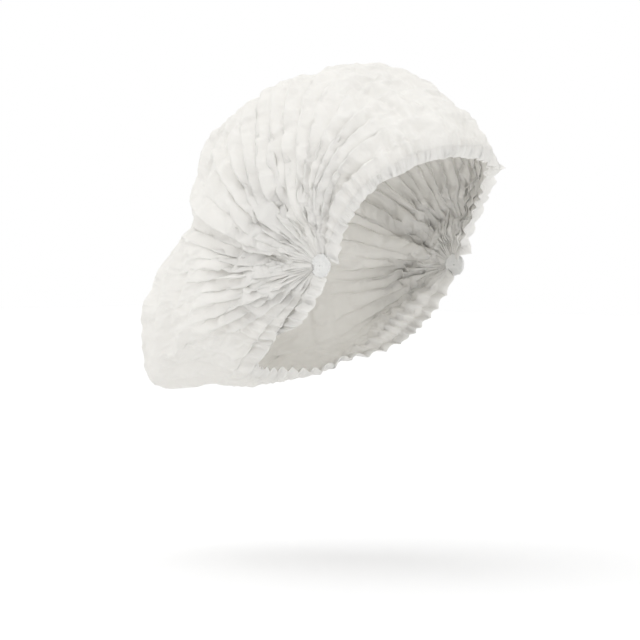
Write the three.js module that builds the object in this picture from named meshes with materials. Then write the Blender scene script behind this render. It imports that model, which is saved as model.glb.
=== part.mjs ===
// A pleated non-woven cap with an elastic face opening and a long nape bag, in the shape it takes on a head.
// Millimetres, +Z up. The face looks towards -Y and the wearer's left side is +X.
// The origin is the middle of the head, level with the two welded ends in front of the ears.
import * as THREE from "three";

// ---- Driving dimensions ----

// Middle line of the cap, seen from the side: reaches along Y and heights along Z.
const browReach = 100; // the sheet's front edge, ahead of the origin
const browHeight = 79;
const crownHeight = 137.5;
const crownTopOffset = -8; // the highest point lies this far behind the origin
const crownReach = 122; // the crown's back, behind the origin
const crownBackHeight = 62;
const foldHeight = 36; // the crease where the crown ends and the nape bag begins
const bagReach = 168;
const bagWaistHeight = -58;
const bagDrop = 88; // the bag's floor, below the origin
const heelRadius = 14;
const napeReach = 80; // the sheet's rear edge, behind the origin

// Half widths across the head.
const browHalfWidth = 84;
const crownHalfWidth = 92;
const bagHalfWidth = 86;
const napeHalfWidth = 70;
const endHalfWidth = 76; // the welded ends

// The welded ends: all pleats meet here, just in front of the ear.
const endOffset = -29; // ahead of the origin
const endHeight = -2;
const endRadius = 12;
const endThickness = 3.2;
const endDimple = 34; // how far round an end the sheet is drawn in

// Sheet, hems and elastics.
const sheetBulk = 1.2; // thickness of the gathered sheet
const elasticWidth = 5;
const elasticThickness = 1;
const elasticSideRoom = 1.3; // between the elastic and the inside of its hem, along the cloth
const elasticDepthRoom = 0.8; // and through it
const hemWall = 0.7;
const seamGap = 0.3; // between the sheet and a hem
const endGap = 0.5; // round a welded end
const browBow = 12; // how far each edge bends out of the straight line from its middle to the end
const napeBow = 10;

// Squareness of the sheet's cross-section: 1 is an ellipse, less is boxier.
const browSquareness = 0.92;
const crownSquareness = 0.84;
const bagSquareness = 0.64;

// Facets.
const sheetFacetsAcross = 48;
const sheetFacetsAlong = 36;
const hemFacets = 64;

// ---- The cap's surface ----

const endCentre = new THREE.Vector2(endOffset, endHeight);
const fanRadius = endRadius + endGap;
const hemWidth = elasticWidth + 2 * (elasticSideRoom + hemWall);
const hemThickness = elasticThickness + 2 * (elasticDepthRoom + hemWall);

// The middle line, from the brow over the crown and the fold, down the bag and forward to the nape.
const middleLine = new THREE.Path()
  .moveTo(-browReach, browHeight)
  .bezierCurveTo(
    -browReach + 1, browHeight + 20,
    crownTopOffset - 38, crownHeight,
    crownTopOffset, crownHeight,
  )
  .bezierCurveTo(
    crownTopOffset + 58, crownHeight,
    crownReach, crownBackHeight + 42,
    crownReach, crownBackHeight,
  )
  .lineTo(crownReach, foldHeight)
  .bezierCurveTo(
    crownReach + 14, foldHeight - 22,
    bagReach, bagWaistHeight + 32,
    bagReach, bagWaistHeight,
  )
  .lineTo(bagReach, heelRadius - bagDrop)
  .absarc(bagReach - heelRadius, heelRadius - bagDrop, heelRadius, 0, -Math.PI / 2, true)
  .lineTo(napeReach, -bagDrop);

// Value at v between stops [v, value], eased from each stop to the next.
function between(v, stops) {
  const next = Math.max(1, stops.findIndex(([at]) => at >= v));
  const [from, low] = stops[next - 1];
  const [to, high] = stops[next];
  return THREE.MathUtils.lerp(low, high, THREE.MathUtils.smoothstep(v, from, to));
}

const halfWidthAt = (v) =>
  between(v, [
    [0, browHalfWidth],
    [0.14, crownHalfWidth],
    [0.5, crownHalfWidth],
    [0.66, bagHalfWidth],
    [0.84, bagHalfWidth],
    [1, napeHalfWidth],
  ]);
const squarenessAt = (v) =>
  between(v, [
    [0, browSquareness],
    [0.3, crownSquareness],
    [0.5, crownSquareness],
    [0.68, bagSquareness],
    [0.86, bagSquareness],
    [1, crownSquareness],
  ]);
const bowAt = (v) =>
  between(v, [
    [0, browBow],
    [0.25, 0],
    [0.8, 0],
    [1, napeBow],
  ]);

// A point of the outer surface. v runs from the brow (0) to the nape (1), and side from the right
// welded end (-1) to the left one (1). Lines of one v are the pleats: they meet at the two ends.
function surfacePoint(v, side) {
  const middle = middleLine.getPointAt(v);
  const spoke = middle.sub(endCentre);
  const squareness = squarenessAt(v);
  const halfWidth = halfWidthAt(v);
  const endReach = fanRadius / spoke.length();
  const endAngle = Math.acos(endReach ** (1 / squareness));
  const angle = side * endAngle;
  const reach = Math.cos(angle) ** squareness;
  const drawIn = Math.exp(-(((reach * spoke.length()) / endDimple) ** 2));
  const swell = Math.abs(Math.sin(angle)) ** squareness;
  const x = halfWidth * swell + (endHalfWidth - halfWidth) * drawIn;
  const bow = (bowAt(v) * 4 * (reach - endReach) * (1 - reach)) / (1 - endReach) ** 2;
  const across = new THREE.Vector2(spoke.y, -spoke.x).normalize();
  const place = endCentre
    .clone()
    .addScaledVector(spoke, reach)
    .addScaledVector(across, bow);
  return new THREE.Vector3(Math.sign(side) * x, place.x, place.y);
}

// The surface's own axes at a point: along the middle line, and outwards.
function surfaceFrame(v, side) {
  const step = 1e-3;
  const ahead = Math.min(v + step, 1);
  const behind = Math.max(v - step, 0);
  const right = Math.max(side - step, -1);
  const left = Math.min(side + step, 1);
  const along = surfacePoint(ahead, side).sub(surfacePoint(behind, side)).normalize();
  const across = surfacePoint(v, left).sub(surfacePoint(v, right));
  const outward = across.cross(along).normalize();
  return { point: surfacePoint(v, side), along, outward };
}

// Moves every vertex of a straight geometry to where place(vertex) says.
function bend(geometry, place) {
  const position = geometry.getAttribute("position");
  const vertex = new THREE.Vector3();
  for (let i = 0; i < position.count; i++) {
    vertex.fromBufferAttribute(position, i);
    position.setXYZ(i, ...place(vertex).toArray());
  }
  geometry.computeVertexNormals();
  return geometry;
}

// ---- Materials ----

const nonwoven = new THREE.MeshStandardMaterial({
  name: "nonwoven",
  color: 0xf4f4f1,
  roughness: 0.9,
  metalness: 0,
});
const hemCloth = new THREE.MeshStandardMaterial({
  name: "hem",
  color: 0xf1f1ee,
  roughness: 0.9,
  metalness: 0,
});
const elasticBraid = new THREE.MeshStandardMaterial({
  name: "elastic",
  color: 0xfafaf6,
  roughness: 0.8,
  metalness: 0,
});
const fusedEnd = new THREE.MeshStandardMaterial({
  name: "weld",
  color: 0xecedea,
  roughness: 0.5,
  metalness: 0,
});

// ---- Pieces ----

// The pleated sheet: one piece of cloth for the crown and the nape bag.
function pleatedSheet() {
  const flat = new THREE.BoxGeometry(1, 1, 1, sheetFacetsAcross, sheetFacetsAlong, 1);
  const bent = bend(flat, (p) => {
    const { point, outward } = surfaceFrame(p.y + 0.5, 2 * p.x);
    return point.addScaledVector(outward, (p.z - 0.5) * sheetBulk);
  });
  return named("pleated_sheet", bent, nonwoven);
}

// A flat oval, width along the surface and thickness through it.
function ovalOutline(width, thickness, ShapeClass) {
  const r = thickness / 2;
  const flank = width / 2 - r;
  return new ShapeClass()
    .absarc(flank, 0, r, -Math.PI / 2, Math.PI / 2, false)
    .absarc(-flank, 0, r, Math.PI / 2, (3 * Math.PI) / 2, false)
    .closePath();
}

// A strip of the given section that runs along one edge of the sheet, from end to end.
function edgeStrip(section, edge) {
  const straight = new THREE.ExtrudeGeometry(section, {
    depth: 1,
    steps: hemFacets,
    bevelEnabled: false,
    curveSegments: 2,
  });
  const clear = (edge === 0 ? -1 : 1) * (hemWidth / 2 + seamGap);
  return bend(straight, (p) => {
    const { point, along, outward } = surfaceFrame(edge, 2 * p.z - 1);
    return point
      .addScaledVector(along, clear + p.x)
      .addScaledVector(outward, p.y - hemThickness / 2);
  });
}

// A hem: the channel of folded cloth that the elastic runs in, open at both ends.
function hem(name, edge) {
  const section = ovalOutline(hemWidth, hemThickness, THREE.Shape);
  section.holes.push(
    ovalOutline(hemWidth - 2 * hemWall, hemThickness - 2 * hemWall, THREE.Path),
  );
  return named(name, edgeStrip(section, edge), hemCloth);
}

function elastic(name, edge) {
  const section = ovalOutline(elasticWidth, elasticThickness, THREE.Shape);
  return named(name, edgeStrip(section, edge), elasticBraid);
}

// A welded end: the stack of pleats and both elastics, pressed and fused into a round pad.
function weldedEnd(name, side) {
  const rim = 0.8;
  const disc = new THREE.Shape().absarc(0, 0, endRadius - rim, 0, 2 * Math.PI, false);
  const pad = new THREE.ExtrudeGeometry(disc, {
    depth: endThickness - 2 * rim,
    bevelSize: rim,
    bevelThickness: rim,
    bevelSegments: 3,
    curveSegments: 20,
  });
  const mesh = named(name, pad.translate(0, 0, rim - endThickness / 2), fusedEnd);
  mesh.rotation.y = Math.PI / 2;
  mesh.position.set(side * (endHalfWidth - hemThickness / 2), endOffset, endHeight);
  return mesh;
}

function named(name, geometry, material) {
  const mesh = new THREE.Mesh(geometry, material);
  mesh.name = name;
  return mesh;
}

const cap = new THREE.Group();
cap.add(
  pleatedSheet(),
  hem("front_hem", 0),
  hem("rear_hem", 1),
  elastic("front_elastic", 0),
  elastic("rear_elastic", 1),
  weldedEnd("right_welded_end", -1),
  weldedEnd("left_welded_end", 1),
);

export default cap;
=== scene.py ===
# %% [markdown]
# # A pleated bouffant cap, as it sits on a head
#
# This notebook builds a light cap of spun-bonded cloth: one pleated sheet with an elastic hem along its
# front edge and another along its rear edge. All the pleats meet in a welded end in front of each ear, open
# like a fan over the head, and leave a long bag at the nape for the hair.
#
# The construction, with its sizes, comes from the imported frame. Here every piece gets its real surface.

# %% Load the frame
import math

import bpy
import numpy as np
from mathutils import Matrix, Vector, noise


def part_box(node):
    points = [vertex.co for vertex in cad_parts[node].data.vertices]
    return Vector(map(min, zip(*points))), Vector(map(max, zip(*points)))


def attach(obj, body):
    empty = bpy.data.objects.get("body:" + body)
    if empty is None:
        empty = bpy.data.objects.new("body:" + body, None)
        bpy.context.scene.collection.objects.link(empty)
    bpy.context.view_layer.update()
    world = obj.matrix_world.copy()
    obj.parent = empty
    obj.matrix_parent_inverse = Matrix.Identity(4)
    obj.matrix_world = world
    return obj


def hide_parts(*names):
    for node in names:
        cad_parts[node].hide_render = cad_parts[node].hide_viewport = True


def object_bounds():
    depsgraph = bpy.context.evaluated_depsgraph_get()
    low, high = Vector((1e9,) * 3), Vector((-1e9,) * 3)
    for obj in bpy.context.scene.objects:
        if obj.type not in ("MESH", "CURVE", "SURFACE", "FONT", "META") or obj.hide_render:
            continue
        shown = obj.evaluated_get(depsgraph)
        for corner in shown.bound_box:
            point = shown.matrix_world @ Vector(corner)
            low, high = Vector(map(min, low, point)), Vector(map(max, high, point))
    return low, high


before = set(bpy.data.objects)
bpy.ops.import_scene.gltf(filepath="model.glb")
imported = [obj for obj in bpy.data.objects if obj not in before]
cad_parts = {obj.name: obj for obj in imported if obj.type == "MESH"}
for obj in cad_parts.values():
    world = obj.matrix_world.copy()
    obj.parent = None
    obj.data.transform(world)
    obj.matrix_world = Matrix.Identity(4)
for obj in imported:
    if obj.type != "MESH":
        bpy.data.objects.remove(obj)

cad_low, cad_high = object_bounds()
print("frame:", sorted(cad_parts))

# %% [markdown]
# ## The camera, the floor and the light
#
# The cap is seen from in front of its right side, nearly level, through a long lens, so that its outline
# hardly changes with depth. A plain pale floor lies where a display head would stand. Wide soft lights and a
# white surround give the bright, low contrast look of a product picture. A small hard light would show the
# folds better but would not look like thin white cloth in an evenly lit room.

# %% Camera
FLOOR_HEIGHT = cad_low.z - 0.125
VIEW_FROM = math.radians(50)  # turned from straight in front towards the wearer's right
CAMERA_DISTANCE = 1.9
FRAME_WIDTH = 0.448  # what the picture spans at the cap's distance
NECK_OFFSET = 0.012  # the neck's middle lies this far behind the origin

scene = bpy.context.scene
sight = Vector((math.sin(VIEW_FROM), math.cos(VIEW_FROM), 0))
across = Vector((math.cos(VIEW_FROM), -math.sin(VIEW_FROM), 0))
aim = Vector((0, NECK_OFFSET, -0.0405)) - 0.0168 * across

lens = bpy.data.cameras.new("long_lens")
lens.sensor_width = 36
lens.lens = lens.sensor_width * CAMERA_DISTANCE / FRAME_WIDTH
camera = bpy.data.objects.new("camera", lens)
camera.location = aim - CAMERA_DISTANCE * sight + Vector((0, 0, 0.05))
camera.rotation_euler = (aim - camera.location).to_track_quat("-Z", "Y").to_euler()
scene.collection.objects.link(camera)
scene.camera = camera
print("camera at", [round(c, 2) for c in camera.location], "lens", round(lens.lens), "mm")


# %% Floor, surround and lights
def plain_material(name, colour, roughness):
    material = bpy.data.materials.new(name)
    material.use_nodes = True
    shader = material.node_tree.nodes["Principled BSDF"]
    shader.inputs["Base Color"].default_value = (*colour, 1)
    shader.inputs["Roughness"].default_value = roughness
    return material


def floor_sheet(size, height):
    corners = [(-size, -size), (size, -size), (size, size), (-size, size)]
    mesh = bpy.data.meshes.new("floor")
    mesh.from_pydata([(x, y, height) for x, y in corners], [], [(0, 1, 2, 3)])
    floor = bpy.data.objects.new("floor", mesh)
    floor.data.materials.append(plain_material("pale_floor", (0.9, 0.9, 0.9), 0.8))
    scene.collection.objects.link(floor)
    return floor


def soft_light(name, place, size, watts):
    light = bpy.data.lights.new(name, "AREA")
    light.shape = "DISK"
    light.size = size
    light.energy = watts
    lamp = bpy.data.objects.new(name, light)
    lamp.location = place
    lamp.rotation_euler = (Vector((0, 0.03, 0)) - lamp.location).to_track_quat("-Z", "Y").to_euler()
    scene.collection.objects.link(lamp)


floor_sheet(6, FLOOR_HEIGHT)
world = bpy.data.worlds.new("white_room")
world.use_nodes = True
world.node_tree.nodes["Background"].inputs["Color"].default_value = (1, 1, 1, 1)
world.node_tree.nodes["Background"].inputs["Strength"].default_value = 1.0
scene.world = world
scene.view_settings.view_transform = "Standard"

ceiling = bpy.data.lights.new("ceiling_light", "SUN")
ceiling.energy = 0.6
ceiling.angle = math.radians(60)
ceiling_lamp = bpy.data.objects.new("ceiling_light", ceiling)
ceiling_lamp.rotation_euler = (math.radians(-14), math.radians(-16), 0)
scene.collection.objects.link(ceiling_lamp)
soft_light("front_softbox", (-0.5, -1.4, 0.5), 0.6, 0.8)
print("floor at", round(FLOOR_HEIGHT, 3), "m, one wide light above and one soft light in front")

# %% [markdown]
# ## The shape of the cap
#
# A pleat runs from one welded end over the head to the other, so the surface is a set of such lines laid
# side by side from the brow (0) to the nape (1). Each crosses the middle of the cap somewhere on one outline
# seen from the side. That outline is a few smooth curves, so it is written as such, and each cross line is a
# rounded box between the outline and the ends.
#
# The surface could also be sculpted or shrink-wrapped to the construction model, but then it would not know
# where its pleats run. Lines of known material are what the folds, the weave and the cloth simulation need.

# %% Sizes of the cap
BROW_REACH = 0.100
BROW_HEIGHT = 0.079
CROWN_HEIGHT = cad_high.z
CROWN_TOP_OFFSET = -0.008
CROWN_REACH = 0.122
CROWN_BACK_HEIGHT = 0.062
FOLD_HEIGHT = 0.036
BAG_REACH = cad_high.y
BAG_WAIST_HEIGHT = -0.058
BAG_FLOOR = cad_low.z
HEEL_RADIUS = 0.009
NAPE_REACH = 0.080
END_LOW, END_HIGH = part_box("left_welded_end")
END_OFFSET = (END_LOW.y + END_HIGH.y) / 2
END_HEIGHT = (END_LOW.z + END_HIGH.z) / 2
END_RADIUS = (END_HIGH.y - END_LOW.y) / 2
END_HALF_WIDTH = 0.076
END_DIMPLE = 0.034
HEM_WIDTH = 0.009
PAD_RADIUS = 0.0078  # the pressed pad; the pleats run out from under its rim
GATHER_RADIUS = 0.0056

BROW, CROWN, BAG, NAPE = 0.084, 0.092, 0.086, 0.070  # half widths
print("welded ends at", round(END_OFFSET, 3), round(END_HEIGHT, 3), "radius", round(END_RADIUS, 3))


# %% The middle line, seen from the side
def bezier(a, b, c, d, count=60):
    t = np.linspace(0, 1, count)[:, None]
    a, b, c, d = (np.array(p) for p in (a, b, c, d))
    return a * (1 - t) ** 3 + 3 * b * t * (1 - t) ** 2 + 3 * c * t**2 * (1 - t) + d * t**3


def middle_line():
    """Points (y, z) from the brow over the crown and the fold, down the bag and forward to the nape."""
    brow_to_top = bezier(
        (-BROW_REACH, BROW_HEIGHT),
        (-BROW_REACH + 0.001, BROW_HEIGHT + 0.020),
        (CROWN_TOP_OFFSET - 0.038, CROWN_HEIGHT),
        (CROWN_TOP_OFFSET, CROWN_HEIGHT),
    )
    top_to_back = bezier(
        (CROWN_TOP_OFFSET, CROWN_HEIGHT),
        (CROWN_TOP_OFFSET + 0.058, CROWN_HEIGHT),
        (CROWN_REACH, CROWN_BACK_HEIGHT + 0.042),
        (CROWN_REACH, CROWN_BACK_HEIGHT),
    )
    fold_to_bag = bezier(
        (CROWN_REACH, FOLD_HEIGHT),
        (CROWN_REACH + 0.014, FOLD_HEIGHT - 0.022),
        (BAG_REACH, BAG_WAIST_HEIGHT + 0.032),
        (BAG_REACH, BAG_WAIST_HEIGHT),
    )
    turn = np.linspace(0, math.pi / 2, 12)[:, None]
    heel = np.hstack([
        BAG_REACH - HEEL_RADIUS + HEEL_RADIUS * np.cos(turn),
        BAG_FLOOR + HEEL_RADIUS - HEEL_RADIUS * np.sin(turn),
    ])
    nape = np.array([[NAPE_REACH, BAG_FLOOR]])
    return np.vstack([brow_to_top, top_to_back[1:], fold_to_bag, heel, nape])


MIDDLE = middle_line()
MIDDLE_STEPS = np.concatenate([[0], np.cumsum(np.linalg.norm(np.diff(MIDDLE, axis=0), axis=1))])
MIDDLE_LENGTH = MIDDLE_STEPS[-1]
print("middle line is", round(MIDDLE_LENGTH, 3), "m long")


# %% The surface between the two welded ends
def ease(x, start, end):
    t = np.clip((x - start) / (end - start), 0, 1)
    return t * t * (3 - 2 * t)


def between(v, stops):
    """The value at v, eased from each stop (v, value) to the next."""
    value = np.full_like(v, stops[0][1])
    for (start, low), (end, high) in zip(stops, stops[1:]):
        value = value + (high - low) * ease(v, start, end)
    return value


def surface(v, side):
    """The cap's outer surface. v is 0 at the brow and 1 at the nape; side is -1 and 1 at the ends."""
    v, side = np.broadcast_arrays(np.asarray(v, float), np.asarray(side, float))
    spoke_y = np.interp(v * MIDDLE_LENGTH, MIDDLE_STEPS, MIDDLE[:, 0]) - END_OFFSET
    spoke_z = np.interp(v * MIDDLE_LENGTH, MIDDLE_STEPS, MIDDLE[:, 1]) - END_HEIGHT
    length = np.hypot(spoke_y, spoke_z)
    half = between(v, [(0, BROW), (0.14, CROWN), (0.5, CROWN), (0.66, BAG), (0.84, BAG), (1, NAPE)])
    square = between(v, [(0, 0.92), (0.3, 0.84), (0.5, 0.84), (0.68, 0.64), (0.86, 0.64), (1, 0.84)])
    bow = between(v, [(0, 0.012), (0.25, 0), (0.8, 0), (1, 0.010)])
    end_reach = GATHER_RADIUS / length
    angle = side * np.arccos(end_reach ** (1 / square))
    reach = np.cos(angle) ** square
    draw_in = np.exp(-((reach * length / END_DIMPLE) ** 2))
    x = half * np.abs(np.sin(angle)) ** square + (END_HALF_WIDTH - half) * draw_in
    push = bow * 4 * (reach - end_reach) * (1 - reach) / (1 - end_reach) ** 2
    y = END_OFFSET + spoke_y * reach + push * spoke_z / length
    z = END_HEIGHT + spoke_z * reach - push * spoke_y / length
    return np.stack([np.sign(side) * x, y, z], axis=-1)


def even_grid(across_count, along_count, v_start=0.0, v_end=1.0):
    """Points of the surface, evenly spaced along each pleat line: [right to left, front to rear]."""
    v = np.linspace(v_start, v_end, along_count)
    dense = np.sin(np.linspace(-1, 1, 801) * math.pi / 2)
    dense = np.sign(dense) * np.abs(dense) ** 1.5
    lines = surface(v[None, :], dense[:, None])
    steps = np.linalg.norm(np.diff(lines, axis=0), axis=2)
    travelled = np.vstack([np.zeros((1, along_count)), np.cumsum(steps, axis=0)])
    grid = np.empty((across_count, along_count, 3))
    for j in range(along_count):
        marks = np.linspace(0, travelled[-1, j], across_count)
        for axis in range(3):
            grid[:, j, axis] = np.interp(marks, travelled[:, j], lines[:, j, axis])
    return grid


def outward_normals(grid):
    right_to_left = np.gradient(grid, axis=0)
    front_to_rear = np.gradient(grid, axis=1)
    normal = np.cross(right_to_left, front_to_rear)
    return normal / np.linalg.norm(normal, axis=2, keepdims=True)


ACROSS, ALONG = 151, 217
base = even_grid(ACROSS, ALONG)
outward = outward_normals(base)
longest = np.linalg.norm(np.diff(base, axis=0), axis=2).sum(0).max()
print("longest pleat line", round(longest, 3), "m,", ACROSS * ALONG, "points")

# %% [markdown]
# ## Folds that the pleating and the elastics leave
#
# The flat sheet is longer and wider than the surface it covers, so the spare cloth stands in folds. Four
# kinds show on such a cap. Pleats fan out from the welded ends and fade on top of the head. The elastics
# shorten each edge, which puckers the cloth beside the hem. A deep crease lies where the crown sinks over
# the bag. Everywhere else the cloth keeps broad soft dents from the packet it came in.
#
# Each kind is a height above the smooth surface, written in the sheet's own measure: across the head from
# end to end, and along it from front to rear. A sculpted mesh would do as well, but heights that know the
# pleats crowd together at the ends by themselves.

# %% The sheet's own measure
SHEET_LENGTH = 0.505  # from one welded end to the other
SHEET_WIDTH = 0.52  # from hem to hem, pleats pulled flat
PLEATS = 27

from_end = np.linspace(-1, 1, ACROSS)[:, None] * np.ones((1, ALONG))
from_front = np.ones((ACROSS, 1)) * np.linspace(0, 1, ALONG)[None, :]


def crowding(grid):
    """How far the cloth is pushed together along the middle line: 1 flat, near 0 at the ends."""
    spacing = np.linalg.norm(np.gradient(grid, axis=1), axis=2)
    return np.clip(spacing * (grid.shape[1] - 1) / SHEET_WIDTH, 0, 1)


def bumps(across, along, size_across, size_along, seed):
    """Smooth noise from -1 to 1 in the sheet's own measure."""
    x = across * SHEET_LENGTH / 2 / size_across + 7.3 * seed
    y = along * SHEET_WIDTH / size_along + 3.9 * seed
    flat = [noise.noise(Vector((a, b, 1.7 * seed))) for a, b in zip(x.ravel(), y.ravel())]
    return np.array(flat).reshape(across.shape)


def zigzag(phase):
    """A folded profile from -1 to 1 with softened edges."""
    return np.arcsin(0.96 * np.sin(2 * math.pi * phase)) / (math.pi / 2)


print("sheet", SHEET_LENGTH, "by", SHEET_WIDTH, "m with", PLEATS, "pleats")


# %% Pleats, puckers, crease and dents
def line_through(angle):
    """The pleat line, from 0 to 1, that leaves the welded end at this angle above straight back."""
    spoke = MIDDLE - np.array([END_OFFSET, END_HEIGHT])
    angles = np.degrees(np.arctan2(spoke[:, 1], spoke[:, 0]))
    return float(np.interp(-angle, -angles, MIDDLE_STEPS)) / MIDDLE_LENGTH


FOLD_LINE = line_through(14)
print("crown folds over the bag at", round(FOLD_LINE, 3))


def band(x, middle, width):
    return np.exp(-(((x - middle) / width) ** 2))


def cloth_area(grid):
    one, other = grid[1:, 1:] - grid[:-1, :-1], grid[1:, :-1] - grid[:-1, 1:]
    return float(np.linalg.norm(np.cross(one, other), axis=2).sum() / 2)


PLEAT_STEEPNESS = 0.85  # how high a crowded pleat stands, as a share of its pitch
PLEAT_DEPTH_AT_END = 0.0050
PLEAT_DEPTH_ON_TOP = 0.0011


def pleat_heights(across, along, grid):
    """Knife pleats: deep beside the ends, faint on top of the head, nearly gone on the bag."""
    local_pitch = crowding(grid) * SHEET_WIDTH / PLEATS
    on_bag = ease(along, FOLD_LINE, FOLD_LINE + 0.06) * (1 - ease(along, 0.95, 1))
    near_end = 1 - ease(1 - np.abs(across), 0.24 - 0.04 * on_bag, 0.88 - 0.24 * on_bag)
    far_depth = PLEAT_DEPTH_ON_TOP * (1 - 0.7 * on_bag)
    depth = far_depth + (PLEAT_DEPTH_AT_END - far_depth) * near_end**1.5 * (1 - 0.15 * on_bag)
    uneven = 0.80 + 0.55 * bumps(across, along, 0.09, 0.05, 2)
    phase = along * PLEATS + 0.8 * bumps(across, along, 0.16, 0.07, 1)
    return np.minimum(PLEAT_STEEPNESS * local_pitch, depth) * uneven * zigzag(phase)


def pucker_heights(across, along, grid):
    """Short gathers square to each hem, which die out a few centimetres into the cloth."""
    reach = np.linalg.norm(np.diff(grid, axis=1), axis=2).sum(axis=1)[:, None]
    heights = 0
    for start, wander_seed in ((0, 3), (1, 4)):
        edge = grid[:, 0 if start == 0 else -1]
        run = np.concatenate([[0], np.cumsum(np.linalg.norm(np.diff(edge, axis=0), axis=1))])
        away = np.abs(along - start) * reach
        phase = run[:, None] / 0.0100 + 1.6 * bumps(across, along, 0.05, 0.3, wander_seed)
        fade = np.exp(-away / 0.022) * ease(1 - np.abs(across), 0, 0.12)
        heights = heights + 0.0018 * fade * np.sin(2 * math.pi * phase)
    return heights


def crease_heights(across, along):
    """The crown's lobe hangs over the bag, and three deep pleats stand open behind the ear."""
    beside = ease(1 - np.abs(across), 0.06, 0.2)
    sway = 0.012 * bumps(across, along, 0.12, 0.5, 5)
    sideways = 0.10 + 0.90 * ease(np.abs(across), 0.15, 0.50)
    lobe = 0.0040 * sideways * band(along, FOLD_LINE - 0.026 + sway, 0.024)
    gap = -0.0050 * sideways * band(along, FOLD_LINE + 0.010 + sway, 0.014)
    heights = beside * (lobe + gap)
    for angle, depth in ((34, 0.0042), (41, 0.0036), (66, 0.0022)):
        line = line_through(angle)
        open_part = band(np.abs(across), 0.62, 0.24)
        heights = heights - depth * open_part * band(along, line + 0.5 * sway, 0.011)
        heights = heights + 0.5 * depth * open_part * band(along, line + 0.022 + 0.5 * sway, 0.014)
    return heights


def dent_heights(across, along, grid):
    calm = crowding(grid) * ease(1 - np.abs(across), 0, 0.2)
    broad = 0.0050 * bumps(across, along, 0.060, 0.050, 6)
    small = 0.0022 * bumps(across, along, 0.030, 0.018, 7)
    return calm * (broad + small)


pleats = pleat_heights(from_end, from_front, base)
heights = (
    pleats
    + crease_heights(from_end, from_front)
    + dent_heights(from_end, from_front, base)
)
front_to_rear = np.gradient(base, axis=1)
front_to_rear /= np.linalg.norm(front_to_rear, axis=2, keepdims=True)
LEAN = 1.6  # a pleat lies over towards the rear by this share of its height
FOLD_ROOM = 0.0016  # the smooth surface is drawn in by this much, so that its folds reach the true outline
drawn_in = FOLD_ROOM * (1.2 + 1.2 * (1 - ease(from_front, 0.04, 0.34)) - 1.2 * ease(from_front, 0.60, 0.66)
                          + 1.6 * ease(from_front, 0.80, 0.90))
folded = base + outward * (heights - drawn_in)[:, :, None] + front_to_rear * (LEAN * pleats)[:, :, None]
print("cloth area", round(cloth_area(base), 3), "then", round(cloth_area(folded), 3), "square metres")
print("folds from", round(1000 * heights.min(), 1), "to", round(1000 * heights.max(), 1), "mm")


# %% Make the sheet's mesh
def grid_mesh(name, grid, ring=False):
    """A mesh of quads over a grid of points. With ring, the second direction closes on itself."""
    rows, columns = grid.shape[:2]
    last = columns if ring else columns - 1
    faces = [
        (i * columns + j, (i + 1) * columns + j, (i + 1) * columns + (j + 1) % columns,
         i * columns + (j + 1) % columns)
        for i in range(rows - 1)
        for j in range(last)
    ]
    mesh = bpy.data.meshes.new(name)
    mesh.from_pydata(grid.reshape(-1, 3).tolist(), [], faces)
    mesh.shade_smooth()
    made = bpy.data.objects.new(name, mesh)
    scene.collection.objects.link(made)
    return made


def lay_cloth_map(piece, across, along):
    """A UV map in metres of flat cloth, so the weave keeps its size and runs with the pleats."""
    layer = piece.data.uv_layers.new(name="cloth")
    vertex = np.empty(len(piece.data.loops), np.int32)
    piece.data.loops.foreach_get("vertex_index", vertex)
    flat = np.stack([across.ravel()[vertex], along.ravel()[vertex]], axis=1)
    layer.data.foreach_set("uv", flat.astype(np.float32).ravel())


sheet = grid_mesh("cap_sheet", folded)
print("sheet:", len(sheet.data.vertices), "points")

# %% [markdown]
# ## Let the cloth settle
#
# Drawn folds look drawn. A short cloth simulation makes them give way to each other: the sheet is told that
# its threads are a little longer than they are drawn, so it buckles as spare cloth does, while its edges
# and ends stay where the elastics and welds hold them. A weak hold on every other point keeps the outline.
# Draping a flat sheet over a head form would be truer still, but would take many minutes and give a
# different outline each time a size changed.

# %% Cloth simulation
SETTLE_FRAMES = 24
SPARE_CLOTH = 0.04
WEAK_HOLD = 0.08
LONGEST_SHIFT = 0.005


def hold_weights(across, along):
    edge = np.maximum(1 - ease(along, 0, 0.03), ease(along, 0.97, 1))
    end = 1 - ease(1 - np.abs(across), 0.02, 0.09)
    return np.clip(np.maximum(edge, end), WEAK_HOLD, 1)


def settle(piece, weights):
    held = piece.vertex_groups.new(name="held")
    for index, weight in enumerate(weights.ravel()):
        held.add([index], float(weight), "REPLACE")
    cloth = piece.modifiers.new("Cloth", "CLOTH")
    thread = cloth.settings
    thread.vertex_group_mass = "held"
    thread.quality = 6
    thread.mass = 0.02
    thread.tension_stiffness = 15
    thread.compression_stiffness = 15
    thread.shear_stiffness = 5
    thread.bending_stiffness = 1.0
    thread.tension_damping = 10
    thread.compression_damping = 10
    thread.shear_damping = 10
    thread.air_damping = 3
    thread.shrink_min = -SPARE_CLOTH
    thread.effector_weights.gravity = 0.05
    cloth.collision_settings.use_self_collision = False
    cloth.point_cache.frame_start = 1
    cloth.point_cache.frame_end = SETTLE_FRAMES
    for frame_number in range(1, SETTLE_FRAMES + 1):
        scene.frame_set(frame_number)
    settled = piece.evaluated_get(bpy.context.evaluated_depsgraph_get())
    points = np.empty(len(piece.data.vertices) * 3)
    settled.data.vertices.foreach_get("co", points)
    piece.modifiers.remove(cloth)
    piece.vertex_groups.remove(held)
    scene.frame_set(1)
    return points.reshape(-1, 3)


moved = settle(sheet, hold_weights(from_end, from_front)).reshape(folded.shape)
shift = moved - folded
travel = np.linalg.norm(shift, axis=2, keepdims=True)
shift *= np.minimum(1, LONGEST_SHIFT / np.maximum(travel, 1e-9))
folded = folded + shift
print("cloth moved", round(1000 * float(travel.mean()), 1), "mm on average,",
      round(1000 * float(travel.max()), 1), "mm at most")

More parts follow.
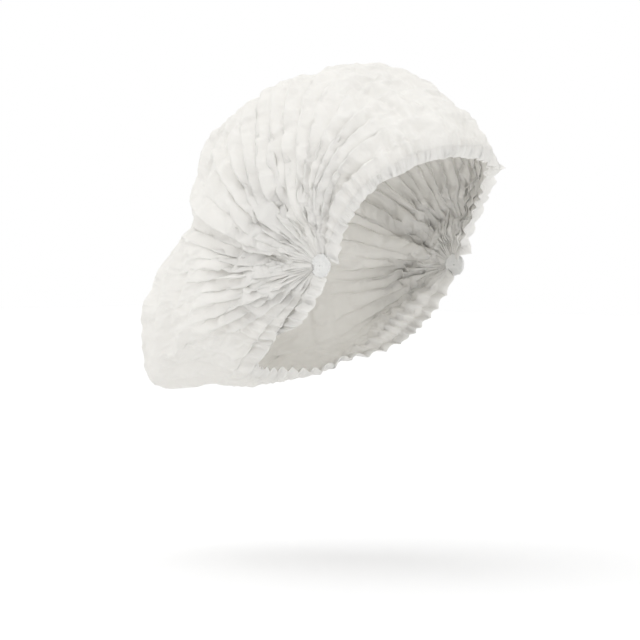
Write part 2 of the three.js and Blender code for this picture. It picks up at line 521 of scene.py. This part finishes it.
# %% [markdown]
# ## Fine crinkles
#
# Thin non-woven cloth is stiff for its weight. Where it is pushed together it does not drape like wool but
# breaks into small crisp facets, a few millimetres across, with sharp little ridges between them. They are
# real shape, because they show in the outline and catch the light. The settled grid is doubled first, then
# each new point moves along its own normal. Where pleats crowd near the ends the crinkles shrink with them.

# %% Double the grid and crinkle it
def doubled(grid):
    """The same surface with a new point between every two, by a smooth four point rule."""
    for axis in (0, 1):
        g = np.moveaxis(grid, axis, 0)
        between_points = (g[:-1] + g[1:]) / 2
        between_points[1:-1] = (9 * (g[1:-2] + g[2:-1]) - (g[:-3] + g[3:])) / 16
        fine = np.empty((2 * g.shape[0] - 1, *g.shape[1:]))
        fine[0::2], fine[1::2] = g, between_points
        grid = np.moveaxis(fine, 0, axis)
    return grid


def ridges(across, along, size_across, size_along, seed):
    """Sharp little ridges between soft facets, from about -0.4 to 0.6."""
    return 0.6 - 2.2 * np.abs(bumps(across, along, size_across, size_along, seed))


fine = doubled(folded)
fine_across, fine_along = doubled(from_end[..., None])[..., 0], doubled(from_front[..., None])[..., 0]
room = crowding(fine)
edge_calm = ease(fine_along, 0, 0.015) * (1 - ease(fine_along, 0.985, 1))
bag_calm = 1 - 0.30 * ease(fine_along, FOLD_LINE, FOLD_LINE + 0.08) * (1 - ease(fine_along, 0.90, 0.97))
crinkle = bag_calm * (
    0.0015 * ridges(fine_across, fine_along, 0.026, 0.0110, 11)
    + 0.0009 * ridges(fine_across, fine_along, 0.012, 0.0060, 12)
) * (0.75 + 0.7 * bumps(fine_across, fine_along, 0.08, 0.08, 13))
crinkle = crinkle * np.clip(1.5 * room, 0, 1) * (0.3 + 0.7 * edge_calm)
smooth_outward = outward_normals(doubled(base))
puckers = pucker_heights(fine_across, fine_along, doubled(base))
fine = fine + outward_normals(fine) * crinkle[..., None] + smooth_outward * puckers[..., None]

CLOTH_THICKNESS = 0.00022
bpy.data.objects.remove(sheet)
sheet = grid_mesh("cap_sheet", fine)
lay_cloth_map(sheet, fine_across * SHEET_LENGTH / 2, fine_along * SHEET_WIDTH)
thicken = sheet.modifiers.new("cloth thickness", "SOLIDIFY")
thicken.thickness = CLOTH_THICKNESS
thicken.offset = -1
print("sheet now has", len(sheet.data.vertices), "points and", round(cloth_area(fine), 3), "square metres")

# %% [markdown]
# ## Hems and elastics
#
# Each edge is folded over a flat elastic and welded shut, so a hem is a soft channel that follows the
# sheet's edge through every pucker. It could be one more strip of the sheet, but the folded edge is thicker,
# rounder and more tightly gathered than the rest, so it is lofted by itself along the edge of the settled
# sheet. The elastic inside is a narrow braid, and shows only where it runs into the welded end.

# %% Loft along an edge
HEM_TURN_IN = math.radians(32)  # the elastic pulls the hem in towards the head


def smoothed(vectors, reach):
    """Unit vectors, each the mean of its neighbours along the edge."""
    padded = np.pad(vectors, ((reach, reach), (0, 0)), mode="edge")
    kernel = np.hanning(2 * reach + 3)[1:-1]
    mean = np.stack([np.convolve(padded[:, k], kernel, "valid") for k in range(3)], axis=1)
    return mean / np.linalg.norm(mean, axis=1, keepdims=True)


def edge_axes(grid, edge):
    """Points of one edge with the way off the sheet and the outward way at each."""
    first, second = (grid[:, 0], grid[:, 3]) if edge == 0 else (grid[:, -1], grid[:, -4])
    off = first - second
    off = smoothed(off, 6)
    face = np.cross(smoothed(np.gradient(first, axis=0), 6), off)
    face /= np.linalg.norm(face, axis=1, keepdims=True)
    if edge == 0:
        face = -face
    off = math.cos(HEM_TURN_IN) * off - math.sin(HEM_TURN_IN) * face
    face = face + off * math.tan(HEM_TURN_IN)
    face /= np.linalg.norm(face, axis=1, keepdims=True)
    return first, off, face


def resampled(points, count):
    run = np.concatenate([[0], np.cumsum(np.linalg.norm(np.diff(points, axis=0), axis=1))])
    marks = np.linspace(0, run[-1], count)
    return np.stack([np.interp(marks, run, points[:, k]) for k in range(points.shape[1])], axis=1), marks


def with_end_caps(piece, around):
    """Close a tube of points, this many to a ring, with one face over each of its two ends."""
    whole = bpy.data.meshes.new(piece.name)
    faces = [list(p.vertices) for p in piece.data.polygons]
    count = len(piece.data.vertices)
    faces.append(list(range(around))[::-1])
    faces.append(list(range(count - around, count)))
    whole.from_pydata([v.co[:] for v in piece.data.vertices], [], faces)
    whole.shade_smooth()
    piece.data = whole
    return piece


def loft(name, middle, off, face, section):
    """A closed tube: section(i) gives points (off, face) in metres round the i-th place."""
    rings = np.stack([
        middle[i] + section[i][:, :1] * off[i] + section[i][:, 1:] * face[i] for i in range(len(middle))
    ])
    return with_end_caps(grid_mesh(name, rings, ring=True), rings.shape[1])


HEM_STEPS = 520
HEM_FOLDED_DEPTH = 0.0024
HEM_OVERLAP = 0.0015  # the hem's own cloth reaches this far over the sheet


def narrowing(mark, total):
    """A hem and its elastic run narrow into the welded ends."""
    return float(0.25 + 0.75 * ease(min(mark, total - mark), 0, 0.024))


def make_hem(name, edge):
    first, off, face = edge_axes(fine, edge)
    together, marks = resampled(np.hstack([first, off, face]), HEM_STEPS)
    first, off, face = together[:, :3], together[:, 3:6], together[:, 6:]
    turn = np.linspace(0, 2 * math.pi, 20, endpoint=False)
    rings = []
    for i, mark in enumerate(marks):
        pucker = noise.noise(Vector((mark / 0.0065, 3.1 + edge, 0)))
        tiny = noise.noise(Vector((mark / 0.0028, 9.7 + edge, 0)))
        narrow = narrowing(mark, marks[-1])
        width = (HEM_WIDTH + 0.0010 * pucker) * narrow + HEM_OVERLAP
        depth = HEM_FOLDED_DEPTH * (1 + 0.45 * pucker + 0.25 * tiny) * (0.4 + 0.6 * narrow)
        lift = 0.0010 * pucker + 0.0005 * tiny
        x = (1 - np.cos(turn)) / 2
        belly = np.sin(turn) * (0.35 + 0.65 * np.sin(math.pi * x))
        rise = depth / 2 * belly + lift * np.sin(math.pi * x)
        rings.append(np.stack([x * width - HEM_OVERLAP, rise], axis=1))
    hem = loft(name, first - 0.0006 * face, off, face, rings)
    return hem, (first, off, face, marks)


front_hem, front_edge = make_hem("front_hem_folded", 0)
rear_hem, rear_edge = make_hem("rear_hem_folded", 1)


def make_elastic(name, edge_places):
    first, off, face, marks = edge_places
    turn = np.linspace(0, 2 * math.pi, 12, endpoint=False)
    rings = []
    for mark in marks:
        rib = 0.00006 * math.sin(2 * math.pi * mark / 0.0016)
        narrow = narrowing(mark, marks[-1])
        along_cloth = narrow * (0.0045 + 0.0024 * np.cos(turn))
        rings.append(np.stack([along_cloth, (0.0004 + rib) * np.sin(turn)], axis=1))
    return loft(name, first - 0.0006 * face, off, face, rings)


front_elastic = make_elastic("front_elastic_braid", front_edge)
rear_elastic = make_elastic("rear_elastic_braid", rear_edge)
print("hems run", round(front_edge[3][-1], 3), "m and", round(rear_edge[3][-1], 3), "m")

# %% [markdown]
# ## Welded ends
#
# At each end the whole stack of pleats and both elastics are pressed between a horn and a patterned wheel
# and fused. What is left is a small stiff pad: the pleat edges still show as ridges that fan out of it, and
# the pattern has pressed a grid of small flats into the middle. The pad is one round grid of points whose
# height is worked out from those two patterns.

# %% Make a welded end
PAD_HEIGHT = 0.0012
WELD_PITCH = 0.0026


def pad_height(y, z):
    radius = np.hypot(y, z)
    turn = np.arctan2(z, y)
    dome = np.sqrt(np.clip(1 - (radius / PAD_RADIUS) ** 2, 0, 1))
    pleat_edges = 0.00035 * np.sin(2 * PLEATS * turn + 2.2 * np.sin(3 * turn)) * ease(radius, 0.004, 0.008)
    pins = np.cos(math.pi * y / WELD_PITCH) ** 8 * np.cos(math.pi * z / WELD_PITCH) ** 8
    pressed = -0.00045 * pins * (1 - ease(radius, 0.0065, 0.0080))
    return PAD_HEIGHT * (0.35 + 0.65 * dome**0.5) * (radius < PAD_RADIUS) + (pleat_edges + pressed) * dome


def welded_end(name, side, rings_count=36, around=144):
    radii = np.linspace(0.0004, PAD_RADIUS, rings_count)
    turn = np.linspace(0, 2 * math.pi, around, endpoint=False)
    y = radii[:, None] * np.cos(turn)
    z = radii[:, None] * np.sin(turn)
    wobble = 1 + 0.05 * np.sin(5 * turn + side) + 0.03 * np.sin(11 * turn)
    uneven_rim = 1 + (wobble - 1) * radii[:, None] / PAD_RADIUS
    y, z = y * uneven_rim, z * uneven_rim
    height = pad_height(y, z)
    outer = np.stack([side * (END_HALF_WIDTH - 0.0016 + height), END_OFFSET + y, END_HEIGHT + z], axis=2)
    inner_x = side * (END_HALF_WIDTH - 0.0026 - 0.3 * height)
    inner = np.stack([inner_x, END_OFFSET + y, END_HEIGHT + z], axis=2)
    both = np.concatenate([outer, inner[::-1]])
    if side > 0:
        both = both[::-1]
    pad = grid_mesh(name, both, ring=True)
    return with_end_caps(pad, around)


right_end = welded_end("right_end_pad", -1)
left_end = welded_end("left_end_pad", 1)
print("two welded ends,", len(right_end.data.vertices), "points each")

# %% [markdown]
# ## Finishes
#
# Spun-bonded cloth is a mat of plastic threads, pressed together at a fine grid of dots. It is white, dull
# and lets a good part of the light through, so each material mixes a matte surface with light that passes
# through. Three patterns sit in the flat cloth's own measure: the grid of dots, the threads, and the cloudy
# mottling where the mat is thicker or thinner.

# %% Cloth material
def node(tree, kind, inputs=None, **settings):
    made = tree.nodes.new(kind)
    for name, value in settings.items():
        setattr(made, name, value)
    for name, value in (inputs or {}).items():
        if hasattr(value, "node"):
            tree.links.new(value, made.inputs[name])
        else:
            made.inputs[name].default_value = value
    return made


def spun_bond(name, white, glow, dot_pitch=0.0016):
    material = bpy.data.materials.new(name)
    material.use_nodes = True
    tree = material.node_tree
    tree.nodes.clear()
    place = node(tree, "ShaderNodeUVMap", uv_map="cloth") if name == "pleated_spun_bond" else None
    where = place.outputs["UV"] if place else node(tree, "ShaderNodeTexCoord").outputs["Object"]
    clouds = node(tree, "ShaderNodeTexNoise", {"Vector": where, "Scale": 110.0, "Detail": 3.0})
    broad = node(tree, "ShaderNodeTexNoise", {"Vector": where, "Scale": 22.0, "Detail": 2.0})
    grain = node(tree, "ShaderNodeMapping", {"Vector": where, "Scale": (900.0, 3600.0, 900.0)})
    threads = node(tree, "ShaderNodeTexNoise",
                   {"Vector": grain.outputs["Vector"], "Scale": 1.0, "Detail": 3.0})
    grain2 = node(tree, "ShaderNodeMapping",
                  {"Vector": where, "Rotation": (0, 0, 0.9), "Scale": (3200.0, 800.0, 900.0)})
    threads2 = node(tree, "ShaderNodeTexNoise",
                    {"Vector": grain2.outputs["Vector"], "Scale": 1.0, "Detail": 3.0})
    dots = node(tree, "ShaderNodeTexVoronoi", {"Vector": where, "Scale": 1 / dot_pitch, "Randomness": 0.12})
    pressed = node(tree, "ShaderNodeMapRange", {"Value": dots.outputs["Distance"], "From Min": 0.20,
                                               "From Max": 0.34, "To Min": 0.0, "To Max": 1.0})
    mat_of_threads = node(tree, "ShaderNodeMath",
                          {0: threads.outputs["Fac"], 1: threads2.outputs["Fac"]}, operation="ADD")
    relief = node(tree, "ShaderNodeMath", {0: mat_of_threads.outputs[0], 1: pressed.outputs["Result"]},
                  operation="ADD")
    bump = node(tree, "ShaderNodeBump", {"Height": relief.outputs[0], "Strength": 0.30, "Distance": 0.0002})
    tone = node(tree, "ShaderNodeMath", {0: clouds.outputs["Fac"], 1: broad.outputs["Fac"]}, operation="ADD")
    shade = node(tree, "ShaderNodeMapRange", {"Value": tone.outputs[0], "From Min": 0.7, "From Max": 1.3})
    colour = node(tree, "ShaderNodeMix", {"Factor": shade.outputs["Result"]}, data_type="RGBA")
    colour.inputs["A"].default_value = (white * 0.972, white * 0.962, white * 0.936, 1)
    colour.inputs["B"].default_value = (white, white * 0.990, white * 0.966, 1)
    rough = node(tree, "ShaderNodeMapRange",
                 {"Value": pressed.outputs["Result"], "To Min": 0.55, "To Max": 0.9})
    matte = node(tree, "ShaderNodeBsdfPrincipled", {
        "Base Color": colour.outputs["Result"],
        "Roughness": rough.outputs["Result"],
        "Normal": bump.outputs["Normal"],
        "Sheen Weight": 0.12,
        "Sheen Roughness": 0.5,
        "Specular IOR Level": 0.3,
    })
    through = node(tree, "ShaderNodeBsdfTranslucent",
                   {"Color": colour.outputs["Result"], "Normal": bump.outputs["Normal"]})
    both = node(tree, "ShaderNodeMixShader",
                {"Fac": glow, 1: matte.outputs["BSDF"], 2: through.outputs["BSDF"]})
    node(tree, "ShaderNodeOutputMaterial", {"Surface": both.outputs["Shader"]})
    return material


cloth_finish = spun_bond("pleated_spun_bond", 0.965, 0.38)
hem_finish = spun_bond("folded_spun_bond", 0.955, 0.34)


# %% Elastic and weld materials
def braid_finish():
    material = bpy.data.materials.new("elastic_braid")
    material.use_nodes = True
    tree = material.node_tree
    shader = tree.nodes["Principled BSDF"]
    where = node(tree, "ShaderNodeTexCoord").outputs["Object"]
    ribs = node(tree, "ShaderNodeTexVoronoi", {"Vector": where, "Scale": 1100.0})
    fuzz = node(tree, "ShaderNodeTexNoise", {"Vector": where, "Scale": 2600.0, "Detail": 2.0})
    relief = node(tree, "ShaderNodeMath",
                  {0: ribs.outputs["Distance"], 1: fuzz.outputs["Fac"]}, operation="ADD")
    bump = node(tree, "ShaderNodeBump", {"Height": relief.outputs[0], "Strength": 0.6, "Distance": 0.0003})
    tint = node(tree, "ShaderNodeMix", {"Factor": fuzz.outputs["Fac"]}, data_type="RGBA")
    tint.inputs["A"].default_value = (0.88, 0.88, 0.85, 1)
    tint.inputs["B"].default_value = (0.95, 0.95, 0.93, 1)
    tree.links.new(tint.outputs["Result"], shader.inputs["Base Color"])
    tree.links.new(bump.outputs["Normal"], shader.inputs["Normal"])
    shader.inputs["Roughness"].default_value = 0.8
    return material


# The welded pads' material. Its grey is partly the fused cloth's own look and partly painted shade.
def fused_and_shaded_finish():
    material = bpy.data.materials.new("fused_pleats_painted_shade")
    material.use_nodes = True
    tree = material.node_tree
    shader = tree.nodes["Principled BSDF"]
    where = node(tree, "ShaderNodeTexCoord").outputs["Object"]
    melt = node(tree, "ShaderNodeTexNoise", {"Vector": where, "Scale": 420.0, "Detail": 4.0})
    bump = node(tree, "ShaderNodeBump", {"Height": melt.outputs["Fac"], "Strength": 0.35, "Distance": 0.0003})
    # Painted shade, in part: the pad is made far greyer than the white cloth round it. Fused cloth does look
    # a little greyer and glassier, but most of this darkness is painted shade. It stands in for the soft
    # shade in the gather before the ear, and it makes up for a pad that faces the light and lets none
    # through.
    tint = node(tree, "ShaderNodeMix", {"Factor": melt.outputs["Fac"]}, data_type="RGBA")
    tint.inputs["A"].default_value = (0.66, 0.66, 0.65, 1)
    tint.inputs["B"].default_value = (0.78, 0.78, 0.76, 1)
    rough = node(tree, "ShaderNodeMapRange", {"Value": melt.outputs["Fac"], "To Min": 0.35, "To Max": 0.7})
    tree.links.new(tint.outputs["Result"], shader.inputs["Base Color"])
    tree.links.new(rough.outputs["Result"], shader.inputs["Roughness"])
    tree.links.new(bump.outputs["Normal"], shader.inputs["Normal"])
    shader.inputs["Subsurface Weight"].default_value = 0.2
    shader.inputs["Subsurface Radius"].default_value = (0.002, 0.002, 0.002)
    return material


# The weld material carries painted shade in its grey as well as the fused look.
braid, fused_and_shaded = braid_finish(), fused_and_shaded_finish()
for piece, finish in (
    (sheet, cloth_finish),
    (front_hem, hem_finish),
    (rear_hem, hem_finish),
    (front_elastic, braid),
    (rear_elastic, braid),
    (right_end, fused_and_shaded),
    (left_end, fused_and_shaded),
):
    piece.data.materials.append(finish)
print("finishes:", sorted(m.name for m in bpy.data.materials if m.users))

# %% [markdown]
# ## Tie every piece to the frame
#
# The cap has no joint, so all its pieces ride on the one body, and each stands for the construction piece
# that it was drawn from.

# %% Ride and replace
for piece, stands_for, finish_slot in (
    (sheet, "pleated_sheet", "nonwoven"),
    (front_hem, "front_hem", "hem"),
    (rear_hem, "rear_hem", "hem"),
    (front_elastic, "front_elastic", "elastic"),
    (rear_elastic, "rear_elastic", "elastic"),
    (right_end, "right_welded_end", "weld"),
    (left_end, "left_welded_end", "weld"),
):
    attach(piece, "root")
    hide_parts(stands_for)
